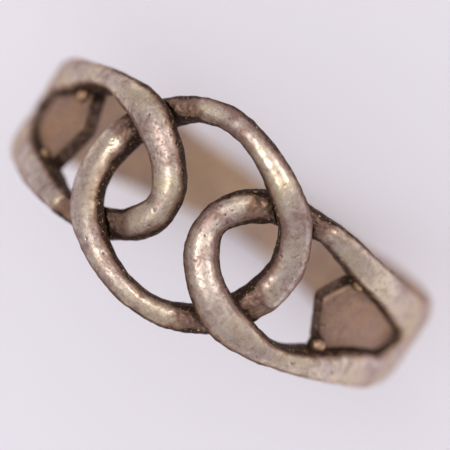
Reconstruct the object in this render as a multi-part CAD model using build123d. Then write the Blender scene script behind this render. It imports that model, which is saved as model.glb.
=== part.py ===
from build123d import *
import math
import os

# A silver finger ring whose face is a closed link woven through two hairpin loops.
# Lengths are in millimetres and angles in degrees.
#
# The finger hole runs along Y, the face looks toward +Z and the origin is the middle of
# the finger hole. Places on the ring are given by three numbers:
#   arc     distance round the ring from the middle of the face, measured at ARC_R
#   along   distance along the finger, which is Y
#   radius  distance from the axis of the finger hole
# Only the left half of the face is described. The right half is the same after half a turn
# about Z, except that the shoulders on both sides lean a little toward -Y.
ARC_R = 10.0
LEAN = 0.32
LEFT = 1
RIGHT = -1

# Finger hole
FINGER_R = 8.65
CUTTER_LENGTH = 30.0

# Wires and band: steps in a quarter of the way round one section
QUARTER_STEPS = 4

# Band round the back of the finger, thinner and narrower at the rear
SHANK_END_ARC = 13.9
SHANK_SECTIONS = 15
SHANK_SIDE_R = 10.0
SHANK_REAR_R = 9.85
SHANK_SIDE_WIDTH = 4.54
SHANK_REAR_WIDTH = 2.74
SHANK_SIDE_SWAY = 0.13
SHANK_SQUARENESS = 3.4
SHANK_INSIDE_R = 8.45

# Hairpin loop, one row for each section from the upper shoulder round to the lower one:
# arc, along, radius, width, height, squareness
LOOP_SECTIONS = [
    (-13.90, 1.30, 9.30, 2.20, 1.46, 3.6),
    (-12.40, 1.80, 9.30, 1.78, 1.48, 3.5),
    (-11.10, 1.98, 9.34, 1.74, 1.50, 3.4),
    (-9.60, 2.32, 9.40, 1.50, 1.64, 3.2),
    (-8.00, 2.74, 9.48, 1.20, 1.80, 3.0),
    (-6.40, 3.02, 9.80, 1.06, 1.54, 2.6),
    (-5.00, 3.00, 10.08, 1.33, 1.42, 2.3),
    (-3.73, 2.80, 10.25, 1.60, 1.40, 2.2),
    (-2.60, 2.20, 10.24, 1.60, 1.40, 2.2),
    (-1.72, 1.37, 10.08, 1.52, 1.40, 2.2),
    (-1.20, 0.42, 9.88, 1.48, 1.40, 2.2),
    (-1.14, -0.44, 9.70, 1.38, 1.38, 2.2),
    (-1.60, -1.27, 9.52, 1.48, 1.36, 2.2),
    (-2.32, -1.84, 9.36, 1.46, 1.34, 2.2),
    (-3.28, -2.26, 9.28, 1.43, 1.34, 2.2),
    (-4.60, -2.50, 9.28, 1.28, 1.36, 2.4),
    (-6.00, -2.54, 9.32, 1.14, 1.46, 2.6),
    (-7.60, -2.28, 9.38, 1.36, 1.60, 3.0),
    (-9.40, -1.98, 9.38, 1.45, 1.60, 3.2),
    (-11.00, -1.72, 9.34, 1.55, 1.50, 3.4),
    (-12.40, -1.48, 9.30, 1.75, 1.48, 3.5),
    (-13.90, -1.14, 9.30, 2.00, 1.46, 3.6),
]

# Closed link: a slightly squared oval that rises over one loop arm and dives under the next
LINK_SECTIONS = 32
LINK_CENTRE = (0.06, 0.12)
LINK_R = 4.44
LINK_OVAL = 0.37
LINK_OVAL_TILT = -16.0
LINK_CORNER = 0.07
LINK_CORNER_TILT = 6.0
LINK_RADIUS = 9.77
LINK_WEAVE = 0.50
LINK_WIDTH = 1.33
LINK_WIDTH_CHANGE = 0.26
LINK_HEIGHT = 1.38
LINK_SQUARENESS = 2.2

# Crossings of the left loop and the link: arc, along
LOOP_OVER = (-3.70, 2.83)
LOOP_UNDER = (-3.62, -2.36)
CROSSING_REACH = 2.0
CROSSING_RADIUS = 9.80
SOLDER_GAP = 0.04

# Solder at a crossing: half lengths across the ring face and through it
CROSSING_SOLDER_SPREAD = 1.00
CROSSING_SOLDER_DEPTH = 0.46

# Recessed plate between the arms of a loop: its point toward the middle of the face, then its
# other corners. Each plate was cut to fit its own gap, so the two differ a little.
PLATE_CORNERS = {
    LEFT: [(-7.35, 0.55), (-8.45, 2.40), (-14.70, 1.00), (-14.70, -1.00), (-8.60, -2.10)],
    RIGHT: [(-7.40, -0.15), (-9.30, 2.40), (-14.70, 1.00), (-14.70, -1.00), (-9.10, -2.10)],
}
PLATE_POINT_ROUND = 0.45
PLATE_TOP_R = 9.45
PLATE_EDGE_ROUND = 0.22
PLATE_RIM_EDGES = 3
PLATE_ARC_MIDDLE = -10.50
WEDGE_INNER_R = 8.0
WEDGE_OUTER_R = 12.0

# Solder beads at the inner corners of a plate: arc, along, radius from the axis, bead size
PLATE_BEADS = [
    (-8.66, 1.78, 9.34, 0.40),
    (-8.70, -1.52, 9.34, 0.44),
]


def outward_at(arc):
    """Unit direction that points away from the finger at this arc."""
    turn = arc / ARC_R
    return Vector(math.sin(turn), 0, math.cos(turn))


def around_at(arc):
    """Unit direction of growing arc."""
    turn = arc / ARC_R
    return Vector(math.cos(turn), 0, -math.sin(turn))


def place(arc, along, radius):
    """Point in space for a place on the ring."""
    lean = LEAN * math.sin(arc / ARC_R) ** 2
    return outward_at(arc) * radius + Vector(0, along - lean, 0)


def soft(value, squareness):
    """Cosine or sine value bent so that a circle turns into a rounded rectangle."""
    return math.copysign(abs(value) ** (2 / squareness), value)


def section(middle, outward, sideways, width, height, squareness):
    """Closed outline of a wire or band, from a rounded rectangle of this width and height."""
    turns = [math.pi / 2 * step / QUARTER_STEPS for step in range(4 * QUARTER_STEPS + 1)]
    points = []
    for angle in turns:
        across = width / 2 * soft(math.cos(angle), squareness)
        up = height / 2 * soft(math.sin(angle), squareness)
        points.append(middle + sideways * across + outward * up)
    directions = [outward, -sideways, -outward, sideways, outward]
    quarters = []
    for quarter in range(4):
        stretch = points[quarter * QUARTER_STEPS : (quarter + 1) * QUARTER_STEPS + 1]
        quarters.append(Edge.make_spline(stretch, tangents=directions[quarter : quarter + 2]))
    return Wire(quarters)


def wire_section(arc, along, radius, heading, width, height, squareness):
    """Outline across a wire that runs over the face in the given heading (radians)."""
    sideways = around_at(arc) * -math.sin(heading) + Vector(0, math.cos(heading), 0)
    middle = place(arc, along, radius)
    return section(middle, outward_at(arc), sideways, width, height, squareness)


def finger_cutter():
    """Cylinder that fills the finger hole."""
    return Cylinder(FINGER_R, CUTTER_LENGTH, rotation=(90, 0, 0))


def make_shank():
    """Band from the left shoulder round the back of the finger to the right shoulder."""
    first = SHANK_END_ARC
    last = 2 * math.pi * ARC_R - SHANK_END_ARC
    outlines = []
    for step in range(SHANK_SECTIONS):
        share = step / (SHANK_SECTIONS - 1)
        arc = first + (last - first) * share
        side = math.cos(math.pi * share)
        # 0 at the rear, 1 at the shoulders, level at both
        swell = side * side * (3 - 2 * abs(side))
        width = SHANK_REAR_WIDTH + (SHANK_SIDE_WIDTH - SHANK_REAR_WIDTH) * swell
        top = SHANK_REAR_R + (SHANK_SIDE_R - SHANK_REAR_R) * swell
        height = top - SHANK_INSIDE_R
        middle = place(arc, -SHANK_SIDE_SWAY * side, top - height / 2)
        outlines.append(
            section(middle, outward_at(arc), Vector(0, 1, 0), width, height, SHANK_SQUARENESS)
        )
    return Solid.make_loft(outlines) - finger_cutter()


def loop_wire(side, grow=0.0):
    """Hairpin loop before anything is cut from it, optionally a little thicker."""
    rows = [(side * arc, side * along, *rest) for arc, along, *rest in LOOP_SECTIONS]
    outlines = []
    for index, (arc, along, radius, width, height, squareness) in enumerate(rows):
        before = rows[max(index - 1, 0)]
        after = rows[min(index + 1, len(rows) - 1)]
        heading = math.atan2(after[1] - before[1], after[0] - before[0])
        if index == 0:
            heading = math.atan2(0, side)
        if index == len(rows) - 1:
            heading = math.atan2(0, -side)
        outlines.append(
            wire_section(
                arc, along, radius, heading, width + 2 * grow, height + 2 * grow, squareness
            )
        )
    return Solid.make_loft(outlines)


def link_place(phi):
    """Arc and along of the middle of the link wire at the angle phi (radians)."""
    oval = LINK_OVAL * math.cos(2 * (phi - math.radians(LINK_OVAL_TILT)))
    corner = LINK_CORNER * math.cos(4 * (phi - math.radians(LINK_CORNER_TILT)))
    reach = LINK_R + oval + corner
    return LINK_CENTRE[0] + reach * math.cos(phi), LINK_CENTRE[1] + reach * math.sin(phi)


def link_wire(grow=0.0):
    """Closed link before anything is cut from it, optionally a little thicker."""
    outlines = []
    nudge = math.radians(1)
    for step in range(LINK_SECTIONS):
        phi = 2 * math.pi * step / LINK_SECTIONS
        arc, along = link_place(phi)
        arc_before, along_before = link_place(phi - nudge)
        arc_after, along_after = link_place(phi + nudge)
        heading = math.atan2(along_after - along_before, arc_after - arc_before)
        radius = LINK_RADIUS + LINK_WEAVE * math.sin(2 * phi)
        width = LINK_WIDTH + LINK_WIDTH_CHANGE * math.cos(2 * phi) + 2 * grow
        height = LINK_HEIGHT + 2 * grow
        outlines.append(
            wire_section(arc, along, radius, heading, width, height, LINK_SQUARENESS)
        )
    outlines.append(outlines[0])
    return Solid.make_loft(outlines)


def crossing_place(side, crossing):
    """Middle of a crossing in space."""
    arc, along = crossing
    return place(side * arc, side * along, CROSSING_RADIUS)


def near_crossing(side, crossing):
    """Ball that holds one crossing and nothing else of the weave."""
    return Pos(*crossing_place(side, crossing)) * Sphere(CROSSING_REACH)


def make_loop(side):
    """Hairpin loop, notched where the link passes over it."""
    notch = link_wire(SOLDER_GAP) & near_crossing(side, LOOP_UNDER)
    return loop_wire(side) - notch - finger_cutter()


def make_centre_link():
    """Closed link, notched where each loop passes over it."""
    link = link_wire()
    for side in (LEFT, RIGHT):
        link = link - (loop_wire(side, SOLDER_GAP) & near_crossing(side, LOOP_OVER))
    return link - finger_cutter()


def make_crossing_solder(side, loop, link):
    """Solder at the two crossings of one loop: a film and corner fillets at each."""
    dots = []
    for crossing in (LOOP_OVER, LOOP_UNDER):
        spread = CROSSING_SOLDER_SPREAD
        blob = scale(Sphere(1.0), (spread, spread, CROSSING_SOLDER_DEPTH))
        blob = blob.rotate(Axis.Y, math.degrees(side * crossing[0] / ARC_R))
        blob = Pos(*crossing_place(side, crossing)) * blob
        dots += (blob - loop - link - finger_cutter()).solids()
    return Compound(children=dots)


def plate_outline(side, slab_radius):
    """Outline of a plate on a flat slab this far from the axis of the finger hole."""
    points = []
    for arc, along in PLATE_CORNERS[side]:
        swing = (arc - PLATE_ARC_MIDDLE) / ARC_R
        lean = LEAN * math.sin(arc / ARC_R) ** 2
        points.append((side * slab_radius * math.tan(swing), side * along - lean))
    outline = Polygon(*points, align=None)
    point_corner = outline.vertices().sort_by(Axis.X)[-1 if side == LEFT else 0]
    return Pos(0, 0, slab_radius) * fillet(point_corner, PLATE_POINT_ROUND)


def plate_wedge(side):
    """Wedge between the arms of a loop, with end walls that point at the finger hole."""
    outlines = [plate_outline(side, radius) for radius in (WEDGE_INNER_R, WEDGE_OUTER_R)]
    wedge = loft(outlines, ruled=True)
    return wedge.rotate(Axis.Y, math.degrees(side * PLATE_ARC_MIDDLE / ARC_R))


def make_plate(side, shank):
    """Recessed plate that fills the gap between the arms of a loop."""
    tube = Cylinder(PLATE_TOP_R, CUTTER_LENGTH, rotation=(90, 0, 0)) - finger_cutter()
    plate = plate_wedge(side) & tube
    outer_face = plate.faces().sort_by(lambda face: face.center().length)[-1]
    rim = outer_face.edges().sort_by(lambda edge: -side * edge.center().X)
    plate = fillet(rim[:PLATE_RIM_EDGES], PLATE_EDGE_ROUND)
    return plate - shank - loop_wire(side)


def make_plate_beads(side, loop, plate):
    """Two solder beads where the plate meets the arms of a loop."""
    beads = []
    for arc, along, radius, size in PLATE_BEADS:
        bead = Pos(*place(side * arc, side * along, radius)) * Sphere(size)
        beads += (bead - loop - plate - finger_cutter()).solids()
    return Compound(children=beads)


os.makedirs("parts", exist_ok=True)

pieces = {"shank": make_shank(), "centre_link": make_centre_link()}
for name, side in (("left", LEFT), ("right", RIGHT)):
    loop = make_loop(side)
    plate = make_plate(side, pieces["shank"])
    pieces[f"{name}_loop"] = loop
    pieces[f"{name}_shoulder_plate"] = plate
    pieces[f"{name}_crossing_solder"] = make_crossing_solder(side, loop, pieces["centre_link"])
    pieces[f"{name}_plate_beads"] = make_plate_beads(side, loop, plate)

for name, piece in pieces.items():
    export_step(piece, f"parts/{name}.step")
    print(name, len(piece.solids()), "solid", round(piece.volume, 2), "mm3")
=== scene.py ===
import itertools
import math

import bmesh
import bpy
import numpy as np
from mathutils import Matrix, Vector
from mathutils.bvhtree import BVHTree


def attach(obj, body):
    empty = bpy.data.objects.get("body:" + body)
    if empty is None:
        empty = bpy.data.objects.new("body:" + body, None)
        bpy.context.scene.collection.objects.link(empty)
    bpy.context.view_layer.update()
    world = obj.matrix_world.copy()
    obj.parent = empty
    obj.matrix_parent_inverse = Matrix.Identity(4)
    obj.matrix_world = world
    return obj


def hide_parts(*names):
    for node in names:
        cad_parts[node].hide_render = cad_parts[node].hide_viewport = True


# A worn silver finger ring: a closed link woven through two hairpin loops.
# Blender works in metres. Surface work is done in millimetres and scaled back at the end.
# The finger hole runs along Y and the face looks toward +Z. A spot on the face is given by
# its arc, the distance round the ring from the middle of the face at ARC_R, and by along, its
# distance along the finger. Spots are given for the left half. The right half is the same
# turned half way round Z, so that arc and along both change sign.
MM = 0.001
ARC_R = 10.0
SIDES = {"left": 1, "right": -1}

# Voxel size of each kind of piece, in mm
WIRE_VOXEL = 0.042
BAND_VOXEL = 0.060
SMALL_VOXEL = 0.035

# Rounds of smoothing after each remesh
SKIN_ROUNDS = 3
FILLET_ROUNDS = 40

# Unevenness of the metal: size of the feature in mm, height in mm
DENTS = [(2.6, 0.060), (1.2, 0.030), (0.50, 0.007), (0.22, 0.0022), (0.11, 0.0012)]
FLANK_ROUGH = [(0.60, 0.030), (0.24, 0.022)]
RECESS_ROUGH = [(0.38, 0.060), (0.16, 0.035)]

# Outward or inward part of a normal: all flank below the first value, no flank above the second
FLANK_NORMAL = (0.35, 0.85)

# Pits in mm: their size and depth, and the size of the areas that have them. The ranges are
# the values of the noises over which they set in.
PIT_SIZE = 0.17
PIT_DEPTH = 0.06
PIT_RANGE = (0.60, 1.0)
PITTED_SIZE = 1.3
PITTED_RANGE = (-0.2, 0.5)

# Seeds of the noises, with what each kind of unevenness adds to the seed of its piece. All skins
# share one seed, so that their dents still meet at the joints.
SKIN_SEED = 100
SOLDER_SEED = 300
SPOT_SEED = 71
SEED_STEPS = {"dents": 0, "flank": 20, "pits": 40, "pitted": 41, "recess": 50}

# Features of a noise in each direction before it repeats
NOISE_CELLS = 32

# Dents on a skin, on crossing solder and on joint metal, as a share of the full height
SKIN_DENTS = 1.0
SOLDER_DENTS = 0.5
SEAM_DENTS = 0.0

# Carved hollows beside the crossings of the left half: arc, along, radius
LINK_RECESSES = [(-2.45, 3.62, 0.75), (-4.35, 1.75, 0.80)]
LOOP_RECESSES = [(-2.60, -1.95, 0.80), (-5.20, -2.65, 0.55)]
RECESS_DEPTH = 0.08

# Painted shade down the sides of the left loop, where it dives under the link: arc, along,
# radius
LOOP_SHADE_SPOTS = [(-1.35, -1.75, 1.0), (-2.60, -1.95, 1.4)]

# Fading edge of a spot, as shares of its radius, and its raggedness: size in mm, share
SPOT_EDGE = (0.45, 1.35)
SPOT_RAGGED = (0.5, 0.25)

# Crossings of link and left loop: arc, along, then the radius at which the two wires meet
CROSSINGS = {"over": (-3.70, 2.83), "under": (-3.62, -2.36)}
CROSSING_RADIUS = 9.72

# Solder at a crossing in mm: its reach, how deep it hides under the wires away from the
# corner, and how far it has to stand out of both wires to show in full
SOLDER_REACH = 1.55
FILLET_SINK = 0.24
FILLET_SHOWN = (0.0, 0.03)

# Dirt beside a crossing in mm: distance over which it fades, and radius at which it ends
DIRT_REACH = (0.9, 2.2)
DIRT_TOP = (9.9, 10.5)

# Shares of pits and of dirt in the mask of the hollows
PIT_SHARE = 0.5
DIRT_SHARE = 0.5

# Flat joint of band and arms at the left shoulder: its arc and the depth of the groove that is
# cut along it, then the reach of the metal that fills the groove and how far that stands out.
# Groove and metal fade over JOINT_FADE beside the joint.
JOINT_ARC = -13.9
JOINT_GROOVE = 0.07
JOINT_REACH = 1.2
JOINT_RISE = 0.07
JOINT_FADE = (0.15, 0.80)

# Camera: turns in degrees, then how far the aim is beside the origin. All lengths are in mm, and
# FOCUS_Z is the height that is sharp.
CAMERA_DISTANCE = 130.0
CAMERA_TOWARD_X = 8.889
CAMERA_TOWARD_Y = 5.478
CAMERA_ROLL = 32.492
CAMERA_AIM = (0.1622, 0.3759)
CAMERA_LENS = 231.17
CAMERA_SENSOR = 36.0
CAMERA_FSTOP = 34.0
CAMERA_NEAR = 10.0
CAMERA_FAR = 10000.0
FOCUS_Z = 9.9

# Looks of the metals: the colours of rubbed metal, of patina and of tarnish (also used for
# painted shade), what wear adds to the rubbed places, how strongly the flanks tarnish, and the
# roughness of rubbed metal
RUBBED_SILVER = {
    "bright": (0.90, 0.82, 0.72, 1), "patina": (0.40, 0.265, 0.205, 1),
    "shade": (0.050, 0.027, 0.020, 1), "wear": 0.0, "flanks": 1.6, "rough": 0.35}
PLATE_SILVER = {
    "bright": (0.52, 0.37, 0.285, 1), "patina": (0.34, 0.220, 0.165, 1),
    "shade": (0.050, 0.027, 0.018, 1), "wear": -0.1, "flanks": 1.2, "rough": 0.44}
ROUGH_SOLDER = {
    "bright": (0.56, 0.41, 0.28, 1), "patina": (0.20, 0.125, 0.088, 1),
    "shade": (0.035, 0.021, 0.015, 1), "wear": -0.3, "flanks": 1.2, "rough": 0.40}
# Beads: worn solder painted lighter, a painted highlight on their crests
BEAD_SILVER_PAINTED_HIGHLIGHT = {
    "bright": (0.85, 0.62, 0.42, 1), "patina": (0.36, 0.215, 0.140, 1),
    "shade": (0.040, 0.023, 0.016, 1), "wear": 0.15, "flanks": 1.6, "rough": 0.36}

# Patina at the rear, tints that drift over all metals, tint of its shine at a low angle, and the
# colour of the painted golden glints, specks of painted highlight on the tarnish
REAR_PATINA = (0.66, 0.49, 0.38, 1)
WARM_TINT = (1.0, 0.94, 0.82, 1)
COOL_TINT = (0.93, 0.905, 0.985, 1)
EDGE_TINT = (0.42, 0.33, 0.28, 1)
PAINTED_GLINT = (0.72, 0.50, 0.24, 1)

# Noises in the metal: features in a mm, detail, warp
METAL_NOISES = {
    "clouds": (0.45, 3.0, 0.8),
    "patches": (1.6, 5.0, 1.2),
    "grain": (7.0, 4.0, 0.0),
    "dust": (16.0, 3.0, 0.0),
    "glint_specks": (8.0, 2.0, 1.0),
}

# Scratches: features in a mm, detail, warp, and the stretches that lay them round and along the
# ring. They are the thin lines where the noise is within LINE_RANGE of its middle.
SCRATCH_NOISE = (5.0, 3.0, 0.0)
SCRATCH_STRETCHES = [(0.22, 1.0, 0.22), (1.0, 0.22, 1.0)]
NOISE_MIDDLE = 0.5
LINE_RANGE = (0.016, 0.0)

# Heights in mm between which the patina turns from that of the rear to that of the face
PATINA_HEIGHTS = (0.0, 8.5)

# Reach of the dirt in crevices in mm, and the rays that feel for it
CREVICE = 0.5
CREVICE_RAYS = 8

# Ranges over which masks go from 0 to 1. The first three are of how far the skin faces outward.
TOP_RANGE = (0.40, 0.97)
FLANK_RANGE = (0.84, 0.25)
DIRT_AND_SHADE_RANGE = (0.95, 0.60)
RUBBED_RANGE = (0.05, 1.15)
TARNISH_RANGE = (0.0, 1.2)
TINT_RANGE = (0.34, 0.68)
GLINT_SPECK_RANGE = (0.62, 0.70)
PAINTED_GLINT_RANGE = (0.2, 0.6)
SOOT_RANGE = (0.38, 0.30)

# What is rubbed bright and what is tarnished are sums of masks: the number they start from and
# the weight of each mask. The finest relief is such a sum too, from nothing.
# One mask in these sums holds dirt beside the crossings and painted shade down the loop sides.
RUBBED_START = -2.1
RUBBED_WEIGHTS = {
    "clouds": 1.7, "patches": 1.6, "grain": 0.5, "hidden": -1.6, "recess": -0.8, "dirt_and_shade": -0.8}
TARNISH_START = 0.05
TARNISH_WEIGHTS = {
    "hidden": 1.6, "carved": 1.2, "dirt_and_shade": 0.9, "patches": -1.3, "clouds": -0.5, "grain": 0.9}
RELIEF_WEIGHTS = {"grain": 0.7, "dust": 0.22, "scratches": -0.30}

# How much the flanks count at the rear and on the face, and how much a carved hollow counts on
# top, with what a flank adds to that
FLANK_REAR = 0.50
FLANK_FACE = 1.0
CARVED_START = 0.60
CARVED_WEIGHTS = {"flank": 0.9}

# Strength of the painted golden glints, and of the soot on grains and scratches
PAINTED_GLINT_SHARE = 0.75
SOOT_SHARE = 0.35

# Metallic share of patina at the rear and on the face, of rubbed metal and of tarnish
METAL_REAR = 0.66
METAL_FACE = 0.80
METAL_RUBBED = 1.0
METAL_TARNISH = 0.35

# Roughness: what patina adds, that of tarnish, and what dust and scratches add in the end
PATINA_ROUGHER = 0.14
TARNISH_ROUGH = 0.62
ROUGH_START = -0.08
ROUGH_WEIGHTS = {"dust": 0.16, "scratches": 0.10}

# Height of the finest relief in mm, its strength, and the shine that is not metallic
RELIEF = 0.017
RELIEF_STRENGTH = 0.8
METAL_SPECULAR = 0.25

# Floor: sizes in mm, mottling in features in a mm and detail
FLOOR_Z = -9.85
FLOOR_HALF = 600.0
FLOOR_TINTS = [(0.825, 0.805, 0.845, 1), (0.835, 0.815, 0.855, 1)]
FLOOR_NOISE = (0.02, 2.0)
FLOOR_ROUGH = 0.9
FLOOR_SPECULAR = 0.1

# Surroundings: what the camera sees, what lights matt surfaces, and what metal mirrors low down
# and high up, with the heights between which it changes on a ball of radius 1
BACKDROP = (0.765, 0.727, 0.775, 1)
AMBIENT = (1.02, 0.985, 1.025, 1)
ROOM_LOW = (0.22, 0.185, 0.17, 1)
ROOM_HIGH = (0.40, 0.365, 0.36, 1)
ROOM_HEIGHTS = (-0.2, 0.9)

# Lights: degrees to the right and up from the camera's direction, width in mm, watts, colour
LIGHT_DISTANCE = 420.0
LIGHTS = {
    "left_soft_box": (-20, 8, 220, 0.60, (1.0, 0.96, 0.86)),
    "right_soft_box": (36, 26, 240, 0.44, (1.0, 0.96, 0.91)),
}

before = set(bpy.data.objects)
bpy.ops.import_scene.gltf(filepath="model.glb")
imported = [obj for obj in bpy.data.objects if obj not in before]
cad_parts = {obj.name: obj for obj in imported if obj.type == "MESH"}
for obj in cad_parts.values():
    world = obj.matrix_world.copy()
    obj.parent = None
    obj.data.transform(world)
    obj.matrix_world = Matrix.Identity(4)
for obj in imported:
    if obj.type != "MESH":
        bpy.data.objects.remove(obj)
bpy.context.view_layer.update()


# ---------------------------------------------------------------- camera directions
def camera_axes():
    """Unit directions toward the camera, to the right of the image and up the image."""
    toward_x = math.radians(CAMERA_TOWARD_X)
    toward_y = math.radians(CAMERA_TOWARD_Y)
    back = Vector((math.sin(toward_x) * math.cos(toward_y), math.sin(toward_y),
                   math.cos(toward_x) * math.cos(toward_y)))
    level_up = (Vector((0, 1, 0)) - back * back.y).normalized()
    level_right = level_up.cross(back)
    roll = math.radians(CAMERA_ROLL)
    right = level_right * math.cos(roll) + level_up * math.sin(roll)
    up = level_up * math.cos(roll) - level_right * math.sin(roll)
    return back, right, up


BACK, RIGHT, UP = camera_axes()


# ---------------------------------------------------------------- places on the ring, in mm
def face_point(arc, along, radius):
    """Point in space for a spot on the face."""
    return np.array([radius * math.sin(arc / ARC_R), along, radius * math.cos(arc / ARC_R)])


def turned(spots, side):
    """Spots of the left half, or the same spots half way round Z for the right half."""
    return [(side * arc, side * along, *rest) for arc, along, *rest in spots]


def distance_to(points, spot):
    """Distance of each point to one spot in space."""
    return np.linalg.norm(points - spot, axis=1)


def outward_of(points):
    """Unit directions away from the finger."""
    away = points * (1, 0, 1)
    return away / np.linalg.norm(away, axis=1, keepdims=True)


def joint_axis(side):
    """Unit direction through the flat joint of band and arms on this side."""
    turn = side * JOINT_ARC / ARC_R
    return np.array([math.cos(turn), 0, -math.sin(turn)])


def joint_distance(points, side):
    """Distance to the joint, endless on the other side of the finger hole."""
    outward = face_point(side * JOINT_ARC, 0, 1)
    return np.where(points @ outward > 0, np.abs(points @ joint_axis(side)), np.inf)


# ---------------------------------------------------------------- noise and masks over points
def noise(points, size, seed):
    """Smooth noise from -1 to 1 with features about size mm across."""
    rng = np.random.default_rng(seed)
    lattice = rng.uniform(-1, 1, (NOISE_CELLS, NOISE_CELLS, NOISE_CELLS))
    turn, _ = np.linalg.qr(rng.normal(size=(3, 3)))
    places = points @ turn / size + rng.uniform(0, NOISE_CELLS, 3)
    base = np.floor(places).astype(int)
    part = places - base
    part = part * part * (3 - 2 * part)
    total = np.zeros(len(points))
    for corner in itertools.product((0, 1), repeat=3):
        weight = np.prod(np.where(corner, part, 1 - part), axis=1)
        index = (base + corner) % NOISE_CELLS
        total += weight * lattice[index[:, 0], index[:, 1], index[:, 2]]
    return total


def layered(points, layers, seed):
    """Sum of noise layers, each a feature size and a height."""
    return sum(height * noise(points, size, seed + step)
               for step, (size, height) in enumerate(layers))


def ramp(values, low, high):
    """0 below low, 1 above high, smooth between."""
    share = np.clip((values - low) / (high - low), 0, 1)
    return share * share * (3 - 2 * share)


def spot_mask(points, spots):
    """1 at these spots, fading to a ragged edge. Spots are arc, along, radius."""
    size, raggedness = SPOT_RAGGED
    mask = np.zeros(len(points))
    for arc, along, radius in spots:
        away = distance_to(points, face_point(arc, along, CROSSING_RADIUS)) / radius
        away += raggedness * noise(points, size, SPOT_SEED)
        mask = np.maximum(mask, 1 - ramp(away, *SPOT_EDGE))
    return mask


def dirt_mask(points):
    """1 low down beside the crossings, where dirt gathers, and 0 away from there."""
    mask = np.zeros(len(points))
    for side in SIDES.values():
        for crossing in turned(CROSSINGS.values(), side):
            away = distance_to(points, face_point(*crossing, CROSSING_RADIUS))
            mask = np.maximum(mask, 1 - ramp(away, *DIRT_REACH))
    radius = np.linalg.norm(points * (1, 0, 1), axis=1)
    return mask * (1 - ramp(radius, *DIRT_TOP))


# ---------------------------------------------------------------- meshes
def new_object(name, mesh):
    """Object of this mesh in the scene."""
    thing = bpy.data.objects.new(name, mesh)
    bpy.context.scene.collection.objects.link(thing)
    return thing


def millimetre_copy(name, node):
    """New object with the shape of a CAD node, in mm."""
    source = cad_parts[node].data
    mesh = bpy.data.meshes.new(name)
    places = [vertex.co / MM for vertex in source.vertices]
    mesh.from_pydata(places, [], [list(face.vertices) for face in source.polygons])
    return new_object(name, mesh)


def apply_modifiers(piece):
    """Turns the modified shape of a piece into its own mesh."""
    graph = bpy.context.evaluated_depsgraph_get()
    mesh = bpy.data.meshes.new_from_object(piece.evaluated_get(graph))
    piece.modifiers.clear()
    old = piece.data
    piece.data = mesh
    bpy.data.meshes.remove(old)


def remesh(piece, voxel, rounds):
    """Even skin of small faces over a piece, softened a little."""
    skin = piece.modifiers.new("skin", "REMESH")
    skin.mode = "VOXEL"
    skin.voxel_size = voxel
    soften = piece.modifiers.new("soften", "SMOOTH")
    soften.iterations = rounds
    apply_modifiers(piece)


def join_near(name, parts, is_near):
    """New object, in mm, from what these objects have near some place, closed up."""
    shape = bmesh.new()
    for part in parts:
        shape.from_mesh(part.data)
    near = is_near(np.array([vertex.co for vertex in shape.verts]))
    far = [vertex for vertex, kept in zip(shape.verts, near) if not kept]
    bmesh.ops.delete(shape, geom=far, context="VERTS")
    bmesh.ops.holes_fill(shape, edges=[edge for edge in shape.edges if edge.is_boundary])
    mesh = bpy.data.meshes.new(name)
    shape.to_mesh(mesh)
    shape.free()
    return new_object(name, mesh)


def read_points(mesh):
    """Vertex places and normals of a mesh as arrays."""
    places = np.zeros(len(mesh.vertices) * 3, np.float32)
    normals = np.zeros(len(mesh.vertices) * 3, np.float32)
    mesh.vertices.foreach_get("co", places)
    mesh.vertices.foreach_get("normal", normals)
    return places.reshape(-1, 3).astype(float), normals.reshape(-1, 3).astype(float)


def write_points(mesh, places):
    """Moves the vertices of a mesh to these places."""
    mesh.vertices.foreach_set("co", places.astype(np.float32).ravel())
    mesh.update()


def store(mesh, name, values):
    """Saves one number for each vertex, for the materials to read."""
    attribute = mesh.attributes.new(name, "FLOAT", "POINT")
    attribute.data.foreach_set("value", values.astype(np.float32))


def skin_tree(piece):
    """Search tree over the skin of a piece, in mm."""
    return BVHTree.FromPolygons([vertex.co for vertex in piece.data.vertices],
                                [face.vertices for face in piece.data.polygons])


def outside_by(points, trees):
    """How far each point stands outside all of these skins, in mm, negative inside any."""
    gaps = np.full(len(points), np.inf)
    for tree in trees:
        for index, point in enumerate(points):
            nearest, normal, _, distance = tree.find_nearest(point)
            side = (Vector(point) - nearest).dot(normal)
            gaps[index] = min(gaps[index], math.copysign(distance, side))
    return gaps


def finish_piece(piece, node, material):
    """Puts a finished skin in the place of its CAD node."""
    piece.data.transform(Matrix.Scale(MM, 4))
    piece.data.shade_smooth()
    piece.data.materials.clear()
    piece.data.materials.append(material)
    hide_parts(node)
    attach(piece, "root")


# ---------------------------------------------------------------- wear of the metal
def cut_joint_grooves(piece):
    """Shallow grooves along the joints, to be filled with metal later."""
    places, normals = read_points(piece.data)
    for side in SIDES.values():
        axis = joint_axis(side)
        sideways = normals - np.outer(normals @ axis, axis)
        depth = JOINT_GROOVE * (1 - ramp(joint_distance(places, side), *JOINT_FADE))
        places -= sideways * depth[:, None]
    write_points(piece.data, places)


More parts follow.
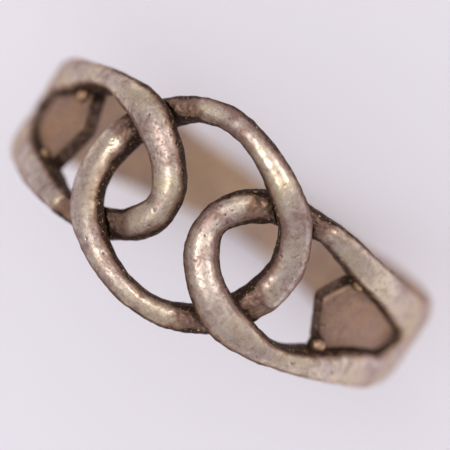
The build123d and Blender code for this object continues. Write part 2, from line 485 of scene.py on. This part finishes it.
def weather(piece, recesses=(), shade_spots=(), seed=SKIN_SEED, dents=SKIN_DENTS):
    """Dents, pits, ragged flanks and carved hollows, and the masks that the materials use."""
    places, normals = read_points(piece.data)
    seeds = {kind: seed + step for kind, step in SEED_STEPS.items()}
    outward = np.sum(normals * outward_of(places), axis=1)
    flank = 1 - ramp(np.abs(outward), *FLANK_NORMAL)
    recess = spot_mask(places, recesses)
    pits = ramp(noise(places, PIT_SIZE, seeds["pits"]), *PIT_RANGE)
    pitted = ramp(noise(places, PITTED_SIZE, seeds["pitted"]), *PITTED_RANGE)
    shift = dents * layered(places, DENTS, seeds["dents"])
    shift += flank * layered(places, FLANK_ROUGH, seeds["flank"])
    shift -= PIT_DEPTH * pits * pitted
    shift += recess * (layered(places, RECESS_ROUGH, seeds["recess"]) - RECESS_DEPTH)
    places += normals * shift[:, None]
    write_points(piece.data, places)
    dirt = dirt_mask(places)
    hollow = recess + PIT_SHARE * pits + DIRT_SHARE * dirt
    store(piece.data, "outward", outward)
    store(piece.data, "recess", np.clip(hollow, 0, 1))
    # Dirt beside the crossings, with painted shade down the loop sides where they dive under the
    # link
    store(piece.data, "dirt_and_shade", np.maximum(dirt, spot_mask(places, shade_spots)))


def fill_corners(name, parts, is_near, voxel, joint_side=None):
    """Fillets between parts near some place, and metal in a joint groove if a side is given.

    Everywhere else it lies under the skins of the parts.
    """
    trees = [skin_tree(part) for part in parts]
    lump = join_near(name, parts, is_near)
    remesh(lump, voxel, FILLET_ROUNDS)
    places, normals = read_points(lump.data)
    rise = -FILLET_SINK * (1 - ramp(outside_by(places, trees), *FILLET_SHOWN))
    if joint_side is not None:
        beside = ramp(joint_distance(places, joint_side), *JOINT_FADE)
        rise = beside * rise + (1 - beside) * JOINT_RISE
    write_points(lump.data, places + normals * rise[:, None])
    return lump


# ---------------------------------------------------------------- materials
class Shader:
    """The look of a material or of the world, built one node at a time."""

    def __init__(self, owner):
        owner.use_nodes = True
        self.owner = owner
        self.tree = owner.node_tree
        self.tree.nodes.clear()

    def add(self, kind, inputs, **settings):
        """Adds a node. Inputs are values or sockets of other nodes, keyed by socket."""
        node = self.tree.nodes.new(kind)
        for name, value in settings.items():
            setattr(node, name, value)
        for key, value in inputs.items():
            if isinstance(value, bpy.types.NodeSocket):
                self.tree.links.new(value, node.inputs[key])
            else:
                node.inputs[key].default_value = value
        return node

    def math(self, operation, first, second):
        """Result of one sum on two numbers."""
        node = self.add("ShaderNodeMath", {0: first, 1: second}, operation=operation)
        return node.outputs[0]

    def weigh(self, first, masks, weights):
        """Sum of a number and of some masks, each times its weight."""
        for name, weight in weights.items():
            node = self.add("ShaderNodeMath", {0: masks[name], 1: weight, 2: first},
                            operation="MULTIPLY_ADD")
            first = node.outputs[0]
        return first

    def step(self, value, low, high):
        """0 below low, 1 above high, smooth between."""
        inputs = {"Value": value, "From Min": low, "From Max": high}
        node = self.add("ShaderNodeMapRange", inputs, interpolation_type="SMOOTHSTEP")
        return node.outputs["Result"]

    def blend(self, share, first, second):
        """Blend of two numbers."""
        node = self.add("ShaderNodeMix", {0: share, 2: first, 3: second}, data_type="FLOAT")
        return node.outputs[0]

    def mix(self, share, first, second):
        """Blend of two colours."""
        node = self.add("ShaderNodeMix", {0: share, 6: first, 7: second}, data_type="RGBA")
        return node.outputs[2]

    def tinted(self, colour, tint):
        """Product of two colours."""
        inputs = {0: 1.0, 6: colour, 7: tint}
        node = self.add("ShaderNodeMix", inputs, data_type="RGBA", blend_type="MULTIPLY")
        return node.outputs[2]

    def place(self):
        """Place on the object in metres."""
        return self.add("ShaderNodeTexCoord", {}).outputs["Object"]

    def noise(self, per_mm, detail, warp=0.0, stretch=(1, 1, 1)):
        """Noise with this many features in a millimetre."""
        scale = tuple(per_mm / MM * share for share in stretch)
        mapping = self.add("ShaderNodeMapping", {"Vector": self.place(), "Scale": scale})
        inputs = {"Vector": mapping.outputs[0], "Scale": 1.0, "Detail": detail,
                  "Distortion": warp}
        return self.add("ShaderNodeTexNoise", inputs).outputs["Fac"]

    def lines(self, noise):
        """1 along the thin middle lines of a noise, 0 beside them."""
        beside = self.math("ABSOLUTE", self.math("SUBTRACT", noise, NOISE_MIDDLE), 0.0)
        return self.step(beside, *LINE_RANGE)

    def attribute(self, name):
        """One of the numbers stored on the mesh."""
        return self.add("ShaderNodeAttribute", {}, attribute_name=name).outputs["Fac"]


def surface_masks(shader):
    """What is known about each place on the metal, as numbers from 0 to 1."""
    outward = shader.attribute("outward")
    height = shader.add("ShaderNodeSeparateXYZ", {0: shader.place()}).outputs["Z"]
    face = shader.step(height, *(z * MM for z in PATINA_HEIGHTS))
    crevice = shader.add("ShaderNodeAmbientOcclusion", {"Distance": CREVICE * MM},
                         samples=CREVICE_RAYS)
    masks = {name: shader.noise(*values) for name, values in METAL_NOISES.items()}
    round_lines, along_lines = [shader.lines(shader.noise(*SCRATCH_NOISE, stretch))
                                for stretch in SCRATCH_STRETCHES]
    masks["scratches"] = shader.math("MAXIMUM", round_lines, along_lines)
    masks["face"] = face
    masks["hidden"] = shader.math("SUBTRACT", 1.0, crevice.outputs["AO"])
    masks["top"] = shader.step(outward, *TOP_RANGE)
    masks["flank"] = shader.math("MULTIPLY", shader.step(outward, *FLANK_RANGE),
                                 shader.blend(face, FLANK_REAR, FLANK_FACE))
    masks["recess"] = shader.attribute("recess")
    masks["carved"] = shader.math("MULTIPLY", masks["recess"],
                                  shader.weigh(CARVED_START, masks, CARVED_WEIGHTS))
    # Dirt and painted shade, kept to the flanks
    masks["dirt_and_shade"] = shader.math("MULTIPLY", shader.attribute("dirt_and_shade"),
                                 shader.step(outward, *DIRT_AND_SHADE_RANGE))
    return masks


def rubbed_mask(shader, masks, wear):
    """How far the patina is rubbed away."""
    start = shader.math("ADD", masks["top"], wear + RUBBED_START)
    return shader.step(shader.weigh(start, masks, RUBBED_WEIGHTS), *RUBBED_RANGE)


def tarnish_mask(shader, masks, flanks):
    """How much dark tarnish lies in the hollows and down the flanks, with painted shade where
    the loops dive under the link.
    """
    weights = {"flank": flanks, **TARNISH_WEIGHTS}
    return shader.step(shader.weigh(TARNISH_START, masks, weights), *TARNISH_RANGE)


def metal_colour(shader, masks, bright, patina, shade):
    """Rubbed metal over patina, then tarnish and painted shade with painted golden glints, then
    soot.
    """
    patina = shader.mix(masks["face"], REAR_PATINA, patina)
    colour = shader.mix(masks["rubbed"], patina, bright)
    warmth = shader.step(masks["clouds"], *TINT_RANGE)
    colour = shader.tinted(colour, shader.mix(warmth, COOL_TINT, WARM_TINT))
    colour = shader.mix(masks["tarnish"], colour, shade)
    # Painted highlights: golden glints where the tarnish is dark
    painted_glint = shader.math("MULTIPLY", shader.step(masks["glint_specks"], *GLINT_SPECK_RANGE),
                        shader.step(masks["tarnish"], *PAINTED_GLINT_RANGE))
    colour = shader.mix(shader.math("MULTIPLY", painted_glint, PAINTED_GLINT_SHARE), colour, PAINTED_GLINT)
    soot = shader.math("MAXIMUM", shader.step(masks["grain"], *SOOT_RANGE), masks["scratches"])
    return shader.mix(shader.math("MULTIPLY", soot, SOOT_SHARE), colour, shade)


def metal_share(shader, masks):
    """How metallic the surface is."""
    patina = shader.blend(masks["face"], METAL_REAR, METAL_FACE)
    metal = shader.blend(masks["rubbed"], patina, METAL_RUBBED)
    return shader.blend(masks["tarnish"], metal, METAL_TARNISH)


def metal_roughness(shader, masks, rough):
    """Smoothest where rubbed and roughest where tarnished."""
    roughness = shader.blend(masks["rubbed"], rough + PATINA_ROUGHER, rough)
    roughness = shader.blend(masks["tarnish"], roughness, TARNISH_ROUGH)
    return shader.weigh(shader.math("ADD", roughness, ROUGH_START), masks, ROUGH_WEIGHTS)


def metal_relief(shader, masks):
    """Normals of the finest grain, dust and scratches."""
    bump = shader.add("ShaderNodeBump", {
        "Height": shader.weigh(0.0, masks, RELIEF_WEIGHTS), "Strength": RELIEF_STRENGTH,
        "Distance": RELIEF * MM})
    return bump.outputs[0]


def worn_silver(name, bright, patina, shade, wear, flanks, rough):
    """Silver rubbed bright on top, brown lower down and nearly black in the hollows."""
    shader = Shader(bpy.data.materials.new(name))
    masks = surface_masks(shader)
    masks["rubbed"] = rubbed_mask(shader, masks, wear)
    masks["tarnish"] = tarnish_mask(shader, masks, flanks)
    surface = shader.add("ShaderNodeBsdfPrincipled", {
        "Base Color": metal_colour(shader, masks, bright, patina, shade),
        "Metallic": metal_share(shader, masks),
        "Roughness": metal_roughness(shader, masks, rough),
        "Specular IOR Level": METAL_SPECULAR,
        "Specular Tint": EDGE_TINT,
        "Normal": metal_relief(shader, masks)})
    shader.add("ShaderNodeOutputMaterial", {"Surface": surface.outputs[0]})
    return shader.owner


# ---------------------------------------------------------------- the ring
def make_loop(name):
    """Hairpin loop of one side with its two shoulder arms."""
    side = SIDES[name]
    piece = millimetre_copy(f"{name}_hairpin_loop", f"{name}_loop")
    remesh(piece, WIRE_VOXEL, SKIN_ROUNDS)
    cut_joint_grooves(piece)
    weather(piece, turned(LOOP_RECESSES, side), turned(LOOP_SHADE_SPOTS, side))
    return piece


def make_link():
    """Closed link in the middle of the face."""
    piece = millimetre_copy("woven_centre_link", "centre_link")
    remesh(piece, WIRE_VOXEL, SKIN_ROUNDS)
    weather(piece, [spot for side in SIDES.values() for spot in turned(LINK_RECESSES, side)])
    return piece


def make_band():
    """Band round the back of the finger."""
    piece = millimetre_copy("tapered_band", "shank")
    remesh(piece, BAND_VOXEL, SKIN_ROUNDS)
    cut_joint_grooves(piece)
    weather(piece)
    return piece


def make_small_piece(name, node):
    """A plate between the arms of a loop, or the two beads at its corners."""
    piece = millimetre_copy(name, node)
    remesh(piece, SMALL_VOXEL, SKIN_ROUNDS)
    weather(piece)
    return piece


def make_solder(name, where, wires):
    """Fillets at one crossing of a loop and the link."""
    [crossing] = turned([CROSSINGS[where]], SIDES[name])
    centre = face_point(*crossing, CROSSING_RADIUS)

    def is_near(points):
        return distance_to(points, centre) < SOLDER_REACH

    lump = fill_corners(f"{name}_solder_{where}", wires, is_near, SMALL_VOXEL)
    weather(lump, seed=SOLDER_SEED, dents=SOLDER_DENTS)
    return lump


def make_shoulder_seam(name, parts):
    """Metal in the joint groove between the band and the arms of a loop."""
    side = SIDES[name]

    def is_near(points):
        return joint_distance(points, side) < JOINT_REACH

    seam = fill_corners(f"{name}_shoulder_seam", parts, is_near, WIRE_VOXEL, side)
    weather(seam, dents=SEAM_DENTS)
    return seam


def make_ring():
    """All pieces of the ring, each in the place of its CAD node."""
    wire_metal = worn_silver("worn_wire_silver", **RUBBED_SILVER)
    band_metal = worn_silver("worn_band_silver", **RUBBED_SILVER)
    plate_metal = worn_silver("tarnished_plate_silver", **PLATE_SILVER)
    solder_metal = worn_silver("rough_solder", **ROUGH_SOLDER)
    # The beads get a lighter copy of the solder's look, as a painted highlight
    bead_metal_painted_highlight = worn_silver("worn_bead_silver_painted_highlight", **BEAD_SILVER_PAINTED_HIGHLIGHT)
    link = make_link()
    band = make_band()
    for name in SIDES:
        loop = make_loop(name)
        for where in CROSSINGS:
            solder = make_solder(name, where, [link, loop])
            finish_piece(solder, f"{name}_crossing_solder", solder_metal)
        seam = make_shoulder_seam(name, [band, loop])
        finish_piece(seam, "shank", band_metal)
        finish_piece(loop, f"{name}_loop", wire_metal)
        plate = make_small_piece(f"{name}_recessed_plate", f"{name}_shoulder_plate")
        finish_piece(plate, f"{name}_shoulder_plate", plate_metal)
        beads = make_small_piece(f"{name}_plate_solder_beads", f"{name}_plate_beads")
        finish_piece(beads, f"{name}_plate_beads", bead_metal_painted_highlight)
    finish_piece(link, "centre_link", wire_metal)
    finish_piece(band, "shank", band_metal)


# ---------------------------------------------------------------- stage
def make_floor():
    """Pale matt floor under the ring."""
    reach = FLOOR_HALF * MM
    height = FLOOR_Z * MM
    corners = [(-reach, -reach, height), (reach, -reach, height), (reach, reach, height),
               (-reach, reach, height)]
    mesh = bpy.data.meshes.new("floor")
    mesh.from_pydata(corners, [], [(0, 1, 2, 3)])
    floor = new_object("floor", mesh)
    shader = Shader(bpy.data.materials.new("matt_floor"))
    tint = shader.mix(shader.noise(*FLOOR_NOISE), *FLOOR_TINTS)
    surface = shader.add("ShaderNodeBsdfPrincipled", {
        "Base Color": tint, "Roughness": FLOOR_ROUGH, "Specular IOR Level": FLOOR_SPECULAR})
    shader.add("ShaderNodeOutputMaterial", {"Surface": surface.outputs[0]})
    mesh.materials.append(shader.owner)


def make_world():
    """Pale to the camera and to matt surfaces, and a dim room in the reflections of metal."""
    world = bpy.data.worlds.new("studio")
    bpy.context.scene.world = world
    shader = Shader(world)
    path = shader.add("ShaderNodeLightPath", {})
    place = shader.add("ShaderNodeTexCoord", {})
    parts = shader.add("ShaderNodeSeparateXYZ", {0: place.outputs["Generated"]})
    room = shader.mix(shader.step(parts.outputs["Z"], *ROOM_HEIGHTS), ROOM_LOW, ROOM_HIGH)
    matt = shader.mix(path.outputs["Is Camera Ray"], AMBIENT, BACKDROP)
    colour = shader.mix(path.outputs["Is Glossy Ray"], matt, room)
    light = shader.add("ShaderNodeBackground", {0: colour, 1: 1.0})
    shader.add("ShaderNodeOutputWorld", {0: light.outputs[0]})


def make_light(name, to_right, to_top, width, watts, colour):
    """Round soft light, turned to the ring, this many degrees off the camera's direction."""
    sideways = RIGHT * math.tan(math.radians(to_right))
    upward = UP * math.tan(math.radians(to_top))
    direction = (BACK + sideways + upward).normalized()
    light = bpy.data.lights.new(name, "AREA")
    light.shape = "DISK"
    light.size = width * MM
    light.energy = watts
    light.color = colour
    lamp = new_object(name, light)
    lamp.location = direction * LIGHT_DISTANCE * MM
    lamp.rotation_mode = "QUATERNION"
    lamp.rotation_quaternion = direction.to_track_quat("Z", "Y")
    lamp.visible_diffuse = False


def make_camera():
    """Camera above the face, turned so that the ring lies slantwise, and sharp on the face."""
    data = bpy.data.cameras.new("camera")
    data.lens = CAMERA_LENS
    data.sensor_width = CAMERA_SENSOR
    data.clip_start = CAMERA_NEAR * MM
    data.clip_end = CAMERA_FAR * MM
    camera = new_object("camera", data)
    place = BACK * CAMERA_DISTANCE - RIGHT * CAMERA_AIM[0] - UP * CAMERA_AIM[1]
    turn = Matrix((RIGHT, UP, BACK)).transposed()
    camera.matrix_world = Matrix.Translation(place * MM) @ turn.to_4x4()
    bpy.context.scene.camera = camera
    focus = new_object("focus", None)
    focus.location = (0, 0, FOCUS_Z * MM)
    data.dof.use_dof = True
    data.dof.focus_object = focus
    data.dof.aperture_fstop = CAMERA_FSTOP


make_ring()
make_floor()
make_world()
for light_name, light_values in LIGHTS.items():
    make_light(light_name, *light_values)
make_camera()
bpy.context.scene.view_settings.view_transform = "Standard"
